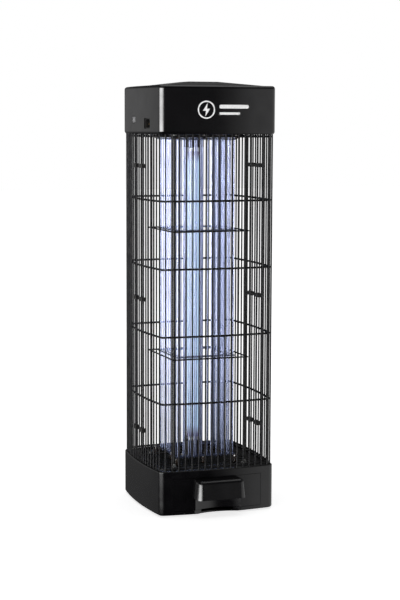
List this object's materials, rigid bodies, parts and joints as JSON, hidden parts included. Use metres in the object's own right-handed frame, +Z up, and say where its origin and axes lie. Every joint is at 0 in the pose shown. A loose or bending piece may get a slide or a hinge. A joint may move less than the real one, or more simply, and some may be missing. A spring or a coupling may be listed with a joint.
{
  "type": "electric bug zapper",
  "caption": "Tall square electric insect killer with a hood, a wire guard round a tube lamp and a high-voltage grid, and a pull-out tray in its base.",
  "frame": {"origin": "on the floor under the middle of the object's bounding box; the tower's own axis stands 12.5 mm behind it", "axes": "+Z up, -Y towards the front with the tray's handle, -X towards the switch and the power inlet"},
  "size_m": [0.252, 0.277, 0.838],
  "materials": {
    "black_gloss": "glossy moulded black",
    "black_matte": "satin moulded black",
    "guard_wire": "black powder-coated wire",
    "grid_steel": "drawn steel with blue-bright zinc",
    "zinc_steel": "zinc-plated",
    "black_steel": "black coated rod",
    "porcelain": "brown glazed",
    "lamp_glass": "phosphor-coated glass",
    "cap_aluminium": "spun aluminium",
    "brass": "bright brass",
    "mark_white": "white print",
    "rocker_black": "glossy dark grey rocker",
    "board_green": "circuit board",
    "copper_winding": "enamelled copper winding",
    "capacitor_blue": "capacitor sleeve",
    "terminal_white": "terminal block",
    "wire_insulation": "insulated lead",
    "foot_rubber": "soft black rubber"
  },
  "bodies": {
    "tower": {"hood_shell": "black_gloss", "hood_floor": "black_gloss", "hood_screws": "zinc_steel", "emblem": "mark_white", "switch_frame": "black_matte", "switch_body": "black_matte", "inlet_body": "black_matte", "inlet_pins": "brass", "ballast": "zinc_steel", "ballast_screws": "zinc_steel", "transformer_core": "zinc_steel", "transformer_winding": "copper_winding", "circuit_board": "board_green", "board_standoffs": "brass", "capacitors": "capacitor_blue", "diodes": "black_matte", "terminal_block": "terminal_white", "terminal_screws": "brass", "internal_wires": "wire_insulation", "guard_front": "guard_wire", "guard_right": "guard_wire", "guard_back": "guard_wire", "guard_left": "guard_wire", "guard_clips": "black_matte", "tie_rods": "black_steel", "tie_rod_nuts": "zinc_steel", "support_hoops": "black_steel", "live_rods": "grid_steel", "live_hoops": "grid_steel", "return_rods": "grid_steel", "return_hoops": "grid_steel", "lower_insulators": "porcelain", "upper_insulators": "porcelain", "lower_lampholder": "black_matte", "upper_lampholder": "black_matte", "lampholder_screws": "zinc_steel", "deck_frame": "black_matte", "deck_slats": "black_matte", "deck_carriers": "black_matte", "base_shell": "black_gloss", "base_pan": "black_gloss", "rubber_feet": "foot_rubber", "tray_rails": "black_matte"},
    "rocker": {"switch_rocker": "rocker_black"},
    "lamp": {"lamp_glass": "lamp_glass", "lamp_caps": "cap_aluminium", "lamp_pins": "brass", "lower_rotor": "terminal_white", "upper_rotor": "terminal_white"},
    "tray": {"tray_box": "black_matte", "tray_front": "black_gloss", "tray_handle": "black_gloss", "tray_screws": "zinc_steel"}
  },
  "joints": [
    {"name": "tray_slide", "type": "slide", "parent": "tower", "child": "tray", "axis": [0, -1, 0], "range_m": [0, 0.17]},
    {"name": "switch_tip", "type": "hinge", "parent": "tower", "child": "rocker", "pos_m": [-0.123, 0.0345, 0.764], "axis": [0, 0, 1], "range_deg": [-12, 0]},
    {"name": "lamp_twist", "type": "hinge", "parent": "tower", "child": "lamp", "pos_m": [0, 0.0365, 0.117], "axis": [0, 0, 1], "range_deg": [0, 90]}
  ]
}
